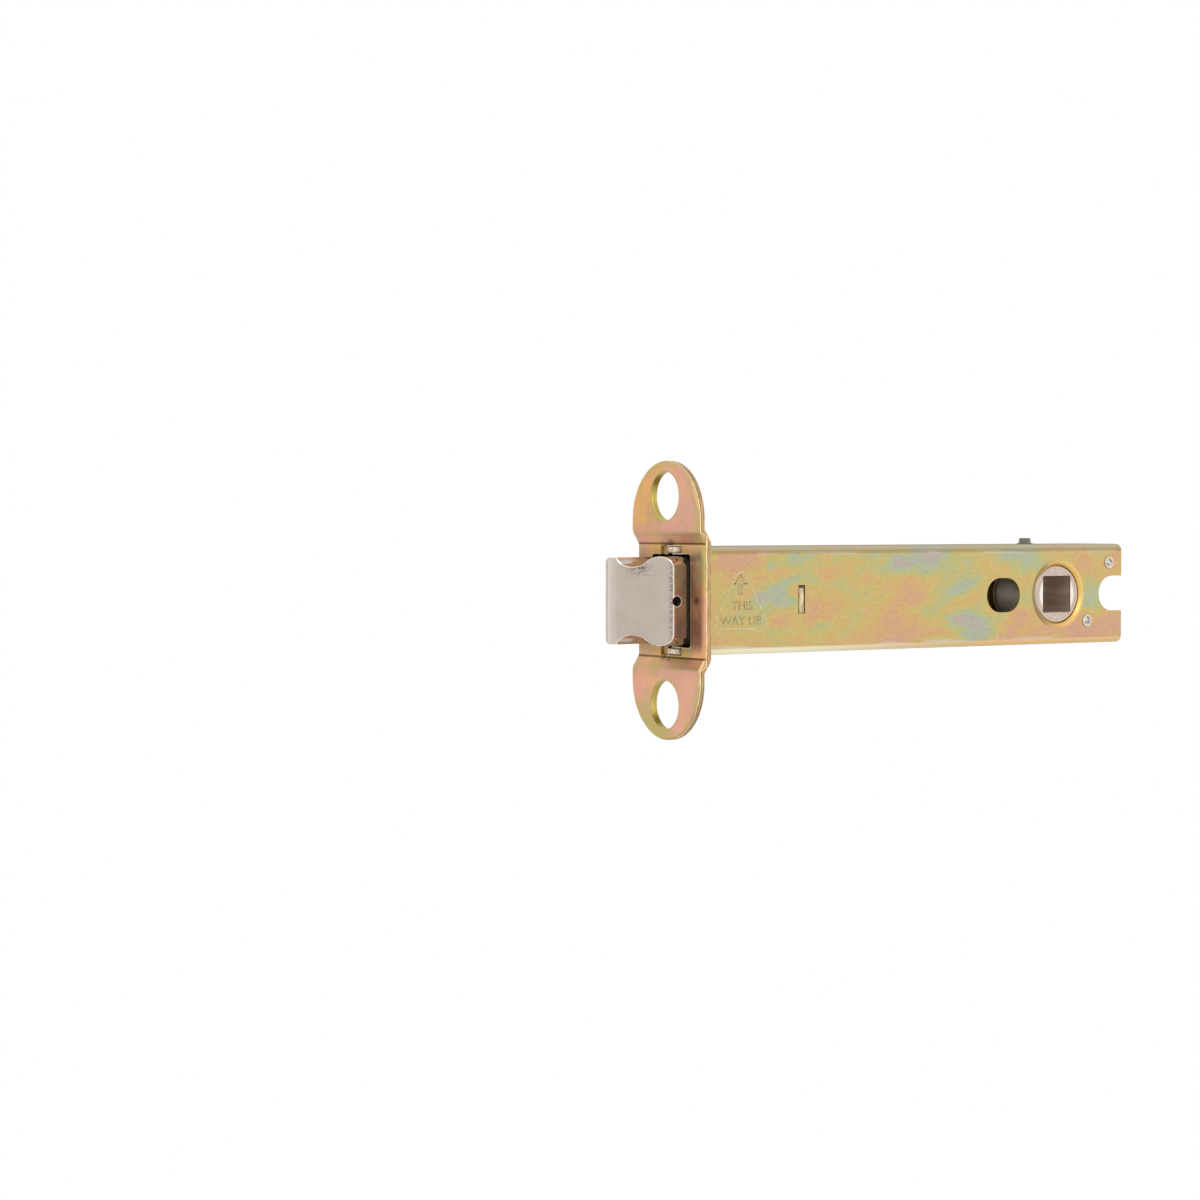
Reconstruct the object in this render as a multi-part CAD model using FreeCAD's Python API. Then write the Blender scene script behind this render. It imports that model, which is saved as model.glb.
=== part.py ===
"""Tubular door latch: a sprung bevelled bolt in a long flat case, made for a hole bored in the door's edge.

Millimetres, +Z up. The origin is the centre of the two screw holes, on the front face of the forend's ears.
+X runs into the door, -X is the way the bolt points, and the bolt's bevel faces -X and -Y.
"""

import math
import os

import FreeCAD
import Part

V = FreeCAD.Vector

# Hub, turned by a square spindle; its boss, cam and levers set the height of the case
spindle_square = 8.1
spindle_corner = 0.4
hub_boss_wall = 0.67
hub_play = 0.15
hub_shoulder = 0.75
hub_face_recess = 0.5
hub_chamfer = 0.3
hub_cam_gap = 0.7
lever_tip_radius = 0.8
lever_wall_gap = 0.15
lever_swing = 60.0
lever_contact_gap = 0.15
lever_neck = 0.55
lever_root = 2.6

# Tail rod with its washer and clip; the springs round it set the width of the case
tail_diameter = 4.5
tail_in_bolt = 5.6
tail_end = 1.1
tail_end_chamfer = 0.5
washer_rim = 1.25
washer_thickness = 0.8
clip_inset = 0.2
clip_thickness = 0.8
clip_groove_depth = 0.5
clip_mouth = 3.0

# Springs
bolt_spring_room = 1.55
bolt_spring_wire = 0.7
bolt_spring_turns = 7
bolt_spring_bore_depth = 2.0
return_spring_room = 0.2
return_spring_wire = 1.2
return_spring_turns = 7
wire_sides = 6
steps_per_turn = 14

# Clearances: between moving pieces, at seats, and round pressed-in pieces
running_gap = 0.3
seat_gap = 0.05
press_gap = 0.05

# Drawbar: a folded yoke with forked arms and two cross bars at its hub end
drawbar_sheet = 1.0
drawbar_side_gap = 0.3
drawbar_edge_gap = 0.35
drawbar_bend = 0.6
yoke_behind_plate = 16.0
arm_mouth_margin = 0.85
arm_neck_margin = 1.2
arm_neck_run = 3.0
prong_clearance = 0.9
cam_bar_gap = 0.3
bar_thickness = 1.6
bar_height = 1.9
bar_overhang = 0.5
tenon_height = 1.1
tenon_thickness = 1.0

# Case: a folded channel closed by a flat cover
case_wall = 1.2
case_bend_inner = 0.5
hub_distance = 100.5
hub_hole_lip = 0.5
cover_fit = 0.05
cover_tab_length = 8.0
cover_tab_margin = 14.0

# Fixing passages for through bolts, either side of the hub
fixing_distance = 16.0
passage_length = 9.5
passage_height = 7.5
tail_notch_height = 7.8
tail_behind_fixing = 3.0

# Forend: a pressed plate whose two ears stand forward of its middle
forend_sheet = 1.5
forend_setback = 1.6
forend_side = 4.3
forend_edge_bevel = 0.3
joggle_run = 2.6
joggle_radius = 0.5
joggle_margin = 0.45
ear_hole_diameter = 10.0
ear_hole_from_joggle = 2.2
ear_rim = 2.2
mouth_side_margin = 0.35
mouth_lip = 0.35
mouth_corner_radius = 0.6

# Lugs of the case that pass through the forend and are split and spread over
lug_width = 7.0
lug_fit = 0.1
lug_recess = 0.5
lug_flare = 0.4
lug_edge_gap = 0.15
split_offset = 0.8
split_width = 1.0
split_depth = 0.9

# Latch bolt
bolt_side_gap = 0.4
bolt_edge_gap = 0.8
bolt_left_out = 1.6
bolt_depth = 9.6
bolt_spare_room = 1.05
bevel_start = 2.1
nose_flat = 1.7
nose_round = 0.4
near_corner_radius = 2.3
far_corner_radius = 1.2
far_shoulder = 2.7
far_shoulder_drop = 0.2
waist_depth = 2.1
waist_offset = 0.85
bolt_edge_bevel = 0.2
pin_diameter = 2.0
pin_recess = 0.6
pin_behind_bevel = 0.95

# Fixed plates that the springs push on
plate_thickness = 1.5
plate_gap = 0.15
tab_height = 5.7
tab_fit = 0.1
tab_recess = 0.2
return_plate_before_passage = 4.25

# Spacers that hold the two sides apart at the tail
spacer_body_diameter = 3.0
spacer_end_diameter = 2.6
spacer_proud = 0.15
upper_spacer_from_end = 3.8
upper_spacer_rise = 6.9
lower_spacer_gap = 1.1
lower_spacer_drop = 6.0

# Stud on the top wall
stud_before_hub = 3.0
stud_diameter = 2.6
stud_height = 1.35
stud_shank_diameter = 2.0
stud_collar_diameter = 3.4
stud_collar_height = 0.25

# Heights, from the spindle outwards
boss_radius = spindle_square / math.sqrt(2) + hub_boss_wall
hub_hole_radius = boss_radius + hub_play
cam_radius = hub_hole_radius + hub_shoulder
bar_bottom = cam_radius + cam_bar_gap
arm_z = bar_bottom + bar_height
inner_z = arm_z + drawbar_edge_gap
outer_z = inner_z + case_wall
lever_radius = inner_z - lever_wall_gap - lever_tip_radius
lever_reach = lever_radius * math.sin(math.radians(lever_swing / 2))
travel = 2 * lever_reach

# Widths, from the tail rod outwards
washer_diameter = tail_diameter + 2 * washer_rim
clip_diameter = washer_diameter - 2 * clip_inset
bolt_spring_diameter = tail_diameter + 2 * bolt_spring_room + 2 * bolt_spring_wire
return_spring_diameter = washer_diameter + 2 * return_spring_room + 2 * return_spring_wire
arm_inner_y = return_spring_diameter / 2 + drawbar_side_gap
arm_y = arm_inner_y + drawbar_sheet
cam_y = arm_inner_y - hub_cam_gap
inner_y = arm_y + drawbar_side_gap
outer_y = inner_y + case_wall

# Forend and bolt, round the case
case_front = forend_setback + forend_sheet
forend_y = outer_y + forend_side
joggle_start = outer_z + joggle_margin
joggle_end = joggle_start + joggle_run
ear_hole_z = joggle_end + ear_hole_from_joggle + ear_hole_diameter / 2
forend_z = ear_hole_z + ear_hole_diameter / 2 + ear_rim
mouth_y = inner_y + mouth_side_margin
mouth_z = inner_z - mouth_lip
bolt_y = inner_y - bolt_side_gap
bolt_z = inner_z - bolt_edge_gap
bolt_projection = travel + bolt_left_out
pin_x = pin_behind_bevel - bevel_start
tail_start = tail_in_bolt - bolt_projection + pin_behind_bevel

# Places along the case
front_passage = hub_distance - fixing_distance
tail_passage = hub_distance + fixing_distance
case_end = tail_passage + tail_behind_fixing
spring_plate_front = bolt_depth + 2 * travel + bolt_spare_room
spring_plate_back = spring_plate_front + plate_thickness
yoke_front = spring_plate_back + yoke_behind_plate
yoke_back = yoke_front + drawbar_sheet
washer_front = yoke_back + seat_gap
washer_back = washer_front + washer_thickness
clip_back = washer_back + seat_gap + clip_thickness
tail_stop = clip_back + seat_gap + tail_end
return_plate_back = front_passage - passage_length / 2 - return_plate_before_passage
return_plate_front = return_plate_back - plate_thickness
bar_front = hub_distance - lever_reach + lever_tip_radius + lever_contact_gap
bar_back = bar_front + bar_thickness
prong_end = bar_back + bar_overhang
lower_spacer_x = prong_end + travel + lower_spacer_gap
upper_spacer_x = case_end - upper_spacer_from_end


def box(x_range, y_range, z_range):
    """A block between two corners."""
    size = [limits[1] - limits[0] for limits in (x_range, y_range, z_range)]
    return Part.makeBox(*size, V(x_range[0], y_range[0], z_range[0]))


def bar_x(radius, start, stop):
    """A round bar along X on the latch's centre line."""
    return Part.makeCylinder(radius, stop - start, V(start, 0, 0), V(1, 0, 0))


def bar_y(radius, x, z, half_length):
    """A round bar along Y, centred on the latch."""
    return Part.makeCylinder(radius, 2 * half_length, V(x, -half_length, z), V(0, 1, 0))


def face_of(edges):
    """A flat face inside a closed run of edges."""
    return Part.Face(Part.Wire(edges))


def polygon_xz(points, half_width):
    """A prism across Y with an outline of (x, z) points."""
    corners = [V(x, -half_width, z) for x, z in points]
    outline = Part.makePolygon(corners + corners[:1])
    return Part.Face(outline).extrude(V(0, 2 * half_width, 0))


def stadium_y(x, length, height, half_width):
    """A slot-shaped bar across Y, with round ends, centred at x on the centre line."""
    radius = height / 2
    offset = (length - height) / 2
    block = box((x - offset, x + offset), (-half_width, half_width), (-radius, radius))
    return block.fuse([bar_y(radius, x - offset, 0, half_width), bar_y(radius, x + offset, 0, half_width)])


def mirrored_z(shape):
    """The same shape on the lower side."""
    return shape.mirror(V(0, 0, 0), V(0, 0, 1))


def edges_where(shape, test):
    """The edges whose middle point passes a test."""
    chosen = []
    for edge in shape.Edges:
        middle = (edge.FirstParameter + edge.LastParameter) / 2
        if test(edge.valueAt(middle)):
            chosen.append(edge)
    return chosen


def cleaned(shape):
    """One solid with split faces joined."""
    return shape.removeSplitter()


def joggle_profile():
    """The forend's side view: its middle set back, its ears forward, one even thickness."""
    shift = forend_sheet * math.tan(math.atan2(forend_setback, joggle_run) / 2)
    front = [(forend_setback, joggle_start), (0, joggle_end), (0, forend_z)]
    back = [(forend_sheet, forend_z), (forend_sheet, joggle_end + shift), (case_front, joggle_start + shift)]
    upper = front + back
    lower = [(x, -z) for x, z in reversed(upper)]
    return upper + lower


def forend_plate():
    """Butterfly forend: round-ended ears, screw holes, a mouth for the bolt and notches for the lugs."""
    sheet = polygon_xz(joggle_profile(), forend_y)
    shift = forend_sheet * math.tan(math.atan2(forend_setback, joggle_run) / 2)

    def at_bends(*bends):
        def test(point):
            return any(abs(point.x - x) < 0.01 and abs(abs(point.z) - z) < 0.01 for x, z in bends)

        return edges_where(sheet, test)

    inner_bends = at_bends((forend_setback, joggle_start), (forend_sheet, joggle_end + shift))
    sheet = sheet.makeFillet(joggle_radius, inner_bends)
    outer_bends = at_bends((0, joggle_end), (case_front, joggle_start + shift))
    sheet = sheet.makeFillet(joggle_radius + forend_sheet, outer_bends)

    end_z = forend_z - forend_y
    blank = box((-1, case_front + 1), (-forend_y, forend_y), (-end_z, end_z))
    for side in (1, -1):
        blank = blank.fuse(Part.makeCylinder(forend_y, case_front + 2, V(-1, 0, side * end_z), V(1, 0, 0)))
    plate = sheet.common(blank)

    def on_front_rim(point):
        return point.x < 0.01 and (abs(point.y) > forend_y - 0.01 or abs(point.z) > end_z + 0.01)

    plate = plate.makeChamfer(forend_edge_bevel, edges_where(plate, on_front_rim))

    through = (-1, case_front + 1)
    mouth = box(through, (-mouth_y, mouth_y), (-mouth_z, mouth_z))
    corners = [edge for edge in mouth.Edges if abs(edge.tangentAt(edge.FirstParameter).x) > 0.99]
    cuts = [mouth.makeFillet(mouth_corner_radius, corners)]
    notch_y = lug_width / 2 + lug_fit
    notch_z = outer_z + lug_edge_gap
    cuts.append(box(through, (-notch_y, notch_y), (-notch_z, notch_z)))
    for side in (1, -1):
        centre = V(-1, 0, side * ear_hole_z)
        cuts.append(Part.makeCylinder(ear_hole_diameter / 2, case_front + 2, centre, V(1, 0, 0)))
    return cleaned(plate.cut(cuts))


def side_cuts():
    """What is cut through both sides: hub hole, passages, tail notch, spacer holes and tab slots."""
    reach = outer_y + 1
    notch_radius = tail_notch_height / 2
    slot_x = (spring_plate_front - tab_fit, spring_plate_back + tab_fit)
    slot_z = tab_height / 2 + tab_fit
    spacer_hole = spacer_end_diameter / 2 + press_gap
    return [
        bar_y(hub_hole_radius, hub_distance, 0, reach),
        stadium_y(front_passage, passage_length, passage_height, reach),
        bar_y(notch_radius, tail_passage, 0, reach),
        box((tail_passage, case_end + 1), (-reach, reach), (-notch_radius, notch_radius)),
        bar_y(spacer_hole, upper_spacer_x, upper_spacer_rise, reach),
        bar_y(spacer_hole, lower_spacer_x, -lower_spacer_drop, reach),
        box(slot_x, (-reach, reach), (-slot_z, slot_z)),
    ]


def with_hole_lip(side):
    """A side of the case with the outer edge of its hub hole sloping inwards."""

    def on_rim(point):
        reach = math.hypot(point.x - hub_distance, point.z)
        return abs(abs(point.y) - outer_y) < 0.01 and abs(reach - hub_hole_radius) < 0.01

    return side.makeChamfer(hub_hole_lip, edges_where(side, on_rim))


def cover_tabs(extra):
    """Blocks at the cover's tabs, or with some extra size at the notches that take them."""
    half = cover_tab_length / 2 + extra
    middle = (case_front + case_end) / 2
    places = (case_front + cover_tab_margin, middle, case_end - cover_tab_margin)
    y_range = (inner_y - extra, outer_y + extra)
    z_range = (inner_z - cover_fit - 1, outer_z)
    blocks = [box((x - half, x + half), y_range, z_range) for x in places]
    return blocks + [mirrored_z(block) for block in blocks]


def case_lug():
    """The upper lug: it leaves the top wall, thickens inwards and is split by a chisel."""
    face_x = forend_setback + lug_recess
    profile = [(case_front, outer_z), (face_x, outer_z), (face_x, inner_z - lug_flare), (case_front, inner_z)]
    lug = polygon_xz(profile, lug_width / 2)
    tip = [V(face_x + split_depth, split_offset, 0), V(face_x - 1, split_offset - split_width, 0)]
    tip.append(V(face_x - 1, split_offset + split_width, 0))
    wedge = Part.Face(Part.makePolygon(tip + tip[:1])).extrude(V(0, 0, outer_z + 1))
    return lug.cut(wedge)


def case_shell():
    """Folded channel: the side that faces -Y with the top and bottom walls, rounded along both folds."""
    x_range = (case_front, case_end)
    block = box(x_range, (-outer_y, outer_y), (-outer_z, outer_z))
    folds = edges_where(block, lambda p: p.y < -outer_y + 0.01 and abs(abs(p.z) - outer_z) < 0.01)
    block = block.makeFillet(case_bend_inner + case_wall, folds)
    hollow = box((case_front - 1, case_end + 1), (-inner_y, outer_y + 1), (-inner_z, inner_z))
    inner_folds = edges_where(hollow, lambda p: p.y < -inner_y + 0.01 and abs(abs(p.z) - inner_z) < 0.01)
    hollow = hollow.makeFillet(case_bend_inner, inner_folds)
    shell = block.cut(hollow)

    shell = shell.fuse([case_lug(), mirrored_z(case_lug())])

    plate_x = (return_plate_front - tab_fit, return_plate_back + tab_fit)
    plate_y = tab_height / 2 + tab_fit
    cuts = side_cuts() + cover_tabs(tab_fit)
    cuts.append(box(plate_x, (-plate_y, plate_y), (-outer_z - 1, outer_z + 1)))
    shank = stud_shank_diameter / 2 + press_gap
    cuts.append(Part.makeCylinder(shank, case_wall + 2, V(hub_distance - stud_before_hub, 0, inner_z - 1)))
    return with_hole_lip(cleaned(shell.cut(cuts)))


def case_cover():
    """Flat far side, set between the top and bottom walls and held by tabs in their edges."""
    edge_z = inner_z - cover_fit
    plate = box((case_front, case_end), (inner_y, outer_y), (-edge_z, edge_z))
    return with_hole_lip(cleaned(plate.fuse(cover_tabs(0)).cut(side_cuts())))


def level_arc(level, other):
    """An arc across the bolt that is level at one (y, z) point and ends at another."""
    run = other[0] - level[0]
    rise = other[1] - level[1]
    radius = (run * run + rise * rise) / (2 * rise)
    half = math.atan2(run / radius, 1 - rise / radius) / 2
    middle = V(0, level[0] + radius * math.sin(half), level[1] + radius * (1 - math.cos(half)))
    return Part.Arc(V(0, *level), middle, V(0, *other)).toShape()


def bolt_section():
    """The bolt seen end on: round near corners, a waist above and below, and smaller far corners."""
    far_z = bolt_z - far_shoulder_drop
    near_end = (-bolt_y, bolt_z - near_corner_radius)
    crest = (near_corner_radius - bolt_y, bolt_z)
    floor = (waist_offset, bolt_z - waist_depth)
    turn = ((crest[0] + floor[0]) / 2, (crest[1] + floor[1]) / 2)
    shoulder = (bolt_y - far_shoulder, far_z)
    far_crest = (bolt_y - far_corner_radius, far_z)
    far_end = (bolt_y, far_z - far_corner_radius)
    edges = [
        level_arc(crest, near_end),
        level_arc(crest, turn),
        level_arc(floor, turn),
        level_arc(floor, shoulder),
        Part.makeLine(V(0, *shoulder), V(0, *far_crest)),
        level_arc(far_crest, far_end),
    ]
    edges += [mirrored_z(edge) for edge in edges]
    for y, z in (near_end, far_end):
        edges.append(Part.makeLine(V(0, y, z), V(0, y, -z)))
    return face_of(Part.sortEdges(edges)[0])


def bevel_slope():
    """How far the bevel falls back for each millimetre across the bolt."""
    return (bolt_projection - bevel_start) / (2 * bolt_y - nose_flat)


def bolt_outline():
    """A block that leaves the bolt's bevel and its rounded nose, seen from above."""
    near_y = -bolt_y - 1
    far_y = bolt_y + 1
    nose_y = bolt_y - nose_flat
    corners = [V(-bevel_start + bevel_slope(), near_y, -outer_z), V(-bolt_projection, nose_y, -outer_z)]
    corners += [V(-bolt_projection, far_y, -outer_z), V(bolt_depth, far_y, -outer_z)]
    corners.append(V(bolt_depth, near_y, -outer_z))
    block = Part.Face(Part.makePolygon(corners + corners[:1])).extrude(V(0, 0, 2 * outer_z))

    def at_nose(point):
        return abs(point.x + bolt_projection) < 0.01 and abs(point.y - nose_y) < 0.01

    return block.makeFillet(nose_round, edges_where(block, at_nose))


def latch_bolt():
    """Bolt head: the waisted section, bevelled, and bored for the rod, its cross pin and the light spring."""
    back = bolt_depth
    bar = bolt_section().extrude(V(bolt_projection + back, 0, 0))
    bar.translate(V(-bolt_projection, 0, 0))
    bar = bar.common(bolt_outline())

    def on_bevel_rim(point):
        depth = -bevel_start - bevel_slope() * (point.y + bolt_y)
        return abs(point.x - depth) < 0.01 and (abs(point.z) > 0.01 or point.y < 0)

    bar = bar.makeChamfer(bolt_edge_bevel, edges_where(bar, on_bevel_rim))
    cuts = [
        bar_x(tail_diameter / 2 + press_gap, tail_start - press_gap, back + 1),
        bar_x(bolt_spring_diameter / 2 + running_gap, back - bolt_spring_bore_depth, back + 1),
        bar_y(pin_diameter / 2 + press_gap, pin_x, 0, bolt_y + 1),
    ]
    return cleaned(bar.cut(cuts))


def bolt_pin():
    """Cross pin that holds the tail rod in the bolt, sunk below both flanks."""
    return bar_y(pin_diameter / 2, pin_x, 0, bolt_y - pin_recess)


def bolt_tail():
    """Tail rod: round, drilled for the cross pin, grooved for the clip and chamfered at its end."""
    rod = bar_x(tail_diameter / 2, tail_start, tail_stop)
    rod = rod.makeChamfer(tail_end_chamfer, edges_where(rod, lambda p: p.x > tail_stop - 0.01))
    groove = bar_x(tail_diameter, washer_back, clip_back + seat_gap)
    groove = groove.cut(bar_x(tail_diameter / 2 - clip_groove_depth, washer_back, clip_back + seat_gap))
    hole = bar_y(pin_diameter / 2 + press_gap, pin_x, 0, tail_diameter)
    return cleaned(rod.cut([groove, hole]))


def tail_washer():
    """Flat washer behind the yoke."""
    ring = bar_x(washer_diameter / 2, washer_front, washer_back)
    return ring.cut(bar_x(tail_diameter / 2 + press_gap, washer_front, washer_back))


def tail_clip():
    """Open spring clip in the rod's groove."""
    front = washer_back + seat_gap
    ring = bar_x(clip_diameter / 2, front, clip_back)
    bore = bar_x(tail_diameter / 2 - clip_groove_depth + press_gap, front, clip_back)
    gap = box((front, clip_back), (-clip_mouth / 2, clip_mouth / 2), (0, clip_diameter))
    return cleaned(ring.cut([bore, gap]))


def coil_spring(diameter, wire, turns, start, stop):
    """Coil along X with its ends ground flat; its wire is swept in short straight steps, many to a turn."""
    radius = (diameter - wire) / 2
    pitch = (stop - start) / turns
    lead = math.atan2(pitch, 2 * math.pi * radius)
    sections = []
    for step in range(turns * steps_per_turn + 1):
        angle = 2 * math.pi * step / steps_per_turn
        outward = V(0, math.cos(angle), math.sin(angle))
        along = V(math.sin(lead), -math.sin(angle) * math.cos(lead), math.cos(angle) * math.cos(lead))
        side = along.cross(outward)
        centre = outward * radius + V(start + pitch * step / steps_per_turn, 0, 0)
        corners = []
        for corner in range(wire_sides):
            turned = 2 * math.pi * (corner + 0.5) / wire_sides
            rim = outward * math.cos(turned) + side * math.sin(turned)
            corners.append(centre + rim * (wire / 2))
        sections.append(Part.makePolygon(corners + corners[:1]))
    coil = Part.makeLoft(sections, True, True)
    return coil.common(bar_x(diameter, start, stop))


def bolt_spring():
    """Light spring that pushes the bolt out, round the tail rod."""
    start = bolt_depth - bolt_spring_bore_depth + seat_gap
    return coil_spring(
        bolt_spring_diameter, bolt_spring_wire, bolt_spring_turns, start, spring_plate_front - seat_gap
    )


def return_spring():
    """Strong spring that pushes the drawbar and hub back."""
    return coil_spring(
        return_spring_diameter,
        return_spring_wire,
        return_spring_turns,
        yoke_back + seat_gap,
        return_plate_front - seat_gap,
    )


def spring_plate():
    """Fixed plate across the case, held by a tab in each side, with a hole for the tail rod."""
    x_range = (spring_plate_front, spring_plate_back)
    half_z = inner_z - plate_gap
    half_y = inner_y - plate_gap
    plate = box(x_range, (-half_y, half_y), (-half_z, half_z))
    tab_y = outer_y - tab_recess
    plate = plate.fuse(box(x_range, (-tab_y, tab_y), (-tab_height / 2, tab_height / 2)))
    return cleaned(plate.cut(bar_x(tail_diameter / 2 + running_gap, x_range[0], x_range[1])))


def return_plate():
    """Fixed plate behind the strong spring, held by tabs in the top and bottom walls."""
    x_range = (return_plate_front, return_plate_back)
    half_y = arm_inner_y - drawbar_side_gap
    half_z = inner_z - plate_gap
    plate = box(x_range, (-half_y, half_y), (-half_z, half_z))
    tab_z = outer_z - tab_recess
    return cleaned(plate.fuse(box(x_range, (-tab_height / 2, tab_height / 2), (-tab_z, tab_z))))


def tenon_range():
    """Heights between which the cross bars' tenons lie."""
    middle = (bar_bottom + arm_z) / 2
    return (middle - tenon_height / 2, middle + tenon_height / 2)


def drawbar():
    """Folded yoke: a front web that pulls the tail rod, and two forked arms that reach the hub."""
    block = box((yoke_front, prong_end), (-arm_y, arm_y), (-arm_z, arm_z))
    folds = edges_where(block, lambda p: p.x < yoke_front + 0.01 and abs(abs(p.y) - arm_y) < 0.01)
    block = block.makeFillet(drawbar_bend + drawbar_sheet, folds)
    hollow = box((yoke_back, prong_end + 1), (-arm_inner_y, arm_inner_y), (-arm_z - 1, arm_z + 1))
    folds = edges_where(hollow, lambda p: p.x < yoke_back + 0.01 and abs(p.z) < 0.01)
    hollow = hollow.makeFillet(drawbar_bend, folds)

    mouth_start = front_passage - passage_length / 2 - travel - arm_mouth_margin
    mouth_z = passage_height / 2 + arm_mouth_margin
    prong_z = boss_radius + prong_clearance
    neck_start = hub_distance - boss_radius - travel - arm_neck_margin
    neck_end = neck_start + arm_neck_run
    fork = [(mouth_start, 0), (mouth_start, mouth_z), (neck_start, mouth_z), (neck_end, prong_z)]
    fork += [(prong_end + 1, prong_z), (prong_end + 1, 0)]
    cuts = [hollow, polygon_xz(fork, outer_y), mirrored_z(polygon_xz(fork, outer_y))]
    cuts.append(bar_x(tail_diameter / 2 + running_gap, yoke_front - 1, yoke_back + 1))
    low, high = tenon_range()
    middle_x = (bar_front + bar_back) / 2
    tenon_x = (middle_x - tenon_thickness / 2 - press_gap, middle_x + tenon_thickness / 2 + press_gap)
    for z_range in ((low - press_gap, high + press_gap), (-high - press_gap, -low + press_gap)):
        cuts.append(box(tenon_x, (-outer_y, outer_y), z_range))
    return cleaned(block.cut(cuts))


def upper_bar():
    """Cross bar that the hub's lever pulls, its tenons set in the drawbar's prongs."""
    bar = box((bar_front, bar_back), (-arm_inner_y, arm_inner_y), (bar_bottom, arm_z))
    middle_x = (bar_front + bar_back) / 2
    tenon_x = (middle_x - tenon_thickness / 2, middle_x + tenon_thickness / 2)
    return cleaned(bar.fuse(box(tenon_x, (-arm_y, arm_y), tenon_range())))


def lower_bar():
    """The same bar for turning the handle the other way."""
    return mirrored_z(upper_bar())


def hub_lever():
    """One lever of the hub, standing up: a round tip on a neck that widens away from the cross bar."""
    root = cam_radius - 1
    points = [(lever_neck, root), (lever_neck, lever_radius)]
    points += [(-lever_tip_radius, lever_radius), (-lever_root, root)]
    lever = polygon_xz(points, cam_y)
    lever = lever.fuse(bar_y(lever_tip_radius, 0, lever_radius, cam_y))
    lever.rotate(V(0, 0, 0), V(0, 1, 0), -lever_swing / 2)
    lever.translate(V(hub_distance, 0, 0))
    return lever


def hub():
    """Follower: a cam with two levers, a boss at each side of the case and a square hole for the spindle."""
    face_y = outer_y - hub_face_recess
    boss = bar_y(boss_radius, hub_distance, 0, face_y)
    boss = boss.makeChamfer(hub_chamfer, edges_where(boss, lambda p: abs(abs(p.y) - face_y) < 0.01))
    cam = bar_y(cam_radius, hub_distance, 0, cam_y)
    body = cam.fuse([boss, hub_lever(), mirrored_z(hub_lever())])
    half = spindle_square / 2
    square = box((hub_distance - half, hub_distance + half), (-outer_y, outer_y), (-half, half))
    corners = [edge for edge in square.Edges if abs(edge.tangentAt(edge.FirstParameter).y) > 0.99]
    return cleaned(body.cut(square.makeFillet(spindle_corner, corners)))


def spacer(x, z):
    """Shouldered spacer whose ends are riveted through the two sides."""
    body = bar_y(spacer_body_diameter / 2, x, z, inner_y)
    ends = bar_y(spacer_end_diameter / 2, x, z, outer_y + spacer_proud)
    return cleaned(body.fuse(ends))


def upper_spacer():
    return spacer(upper_spacer_x, upper_spacer_rise)


def lower_spacer():
    return spacer(lower_spacer_x, -lower_spacer_drop)


def top_stud():
    """Short stud with a collar, pressed into the top wall."""
    x = hub_distance - stud_before_hub
    head = Part.makeCylinder(stud_diameter / 2, stud_height, V(x, 0, outer_z))
    rim = edges_where(head, lambda p: p.z > outer_z + stud_height - 0.01)
    head = head.makeChamfer(stud_collar_height, rim)
    collar = Part.makeCylinder(stud_collar_diameter / 2, stud_collar_height, V(x, 0, outer_z))
    shank = Part.makeCylinder(stud_shank_diameter / 2, case_wall, V(x, 0, inner_z))
    return cleaned(head.fuse([collar, shank]))


PARTS = (
    forend_plate,
    case_shell,
    case_cover,
    latch_bolt,
    bolt_pin,
    bolt_tail,
    tail_washer,
    tail_clip,
    bolt_spring,
    spring_plate,
    drawbar,
    upper_bar,
    lower_bar,
    return_spring,
    return_plate,
    hub,
    upper_spacer,
    lower_spacer,
    top_stud,
)

os.makedirs("parts", exist_ok=True)
for make in PARTS:
    make().exportStep(f"parts/{make.__name__}.step")
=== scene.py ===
import math

import bmesh
import bpy
from mathutils import Matrix, Vector


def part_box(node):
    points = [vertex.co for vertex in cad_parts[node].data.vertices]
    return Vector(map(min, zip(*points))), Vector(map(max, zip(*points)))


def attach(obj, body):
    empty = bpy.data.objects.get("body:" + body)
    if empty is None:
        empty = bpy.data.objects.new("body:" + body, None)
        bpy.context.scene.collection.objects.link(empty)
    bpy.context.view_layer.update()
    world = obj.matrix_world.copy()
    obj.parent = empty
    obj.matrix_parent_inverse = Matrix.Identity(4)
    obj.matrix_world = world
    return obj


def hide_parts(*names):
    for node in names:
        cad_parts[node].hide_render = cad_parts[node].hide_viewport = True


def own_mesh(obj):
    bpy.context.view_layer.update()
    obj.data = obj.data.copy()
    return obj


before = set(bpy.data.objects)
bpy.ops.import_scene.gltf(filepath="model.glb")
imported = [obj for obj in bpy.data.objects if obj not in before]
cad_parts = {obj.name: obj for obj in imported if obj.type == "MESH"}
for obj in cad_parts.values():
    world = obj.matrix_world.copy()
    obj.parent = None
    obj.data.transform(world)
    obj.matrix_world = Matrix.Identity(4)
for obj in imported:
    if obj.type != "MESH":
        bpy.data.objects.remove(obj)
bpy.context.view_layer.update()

bl_info = {
    "name": "Tubular door latch looks",
    "version": (1, 0, 0),
    "blender": (4, 5, 0),
    "location": "3D View > Sidebar > Latch",
    "description": "Finishes, coil springs and the stamped mark of a tubular door latch, with its stage",
    "category": "Object",
}

STRONG_LOW, STRONG_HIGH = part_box("return_spring")
LIGHT_LOW, LIGHT_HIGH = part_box("bolt_spring")
BOLT_LOW, BOLT_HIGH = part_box("latch_bolt")
SHELL_LOW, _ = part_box("case_shell")
MM = 0.001
HUB_AT = 100.5 * MM
PASSAGE_AT = 84.45 * MM
EAR_HOLE_AT = 21.3 * MM
EAR_ROUND_FROM = 16.5 * MM
SINK = 0.002 * MM


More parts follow.
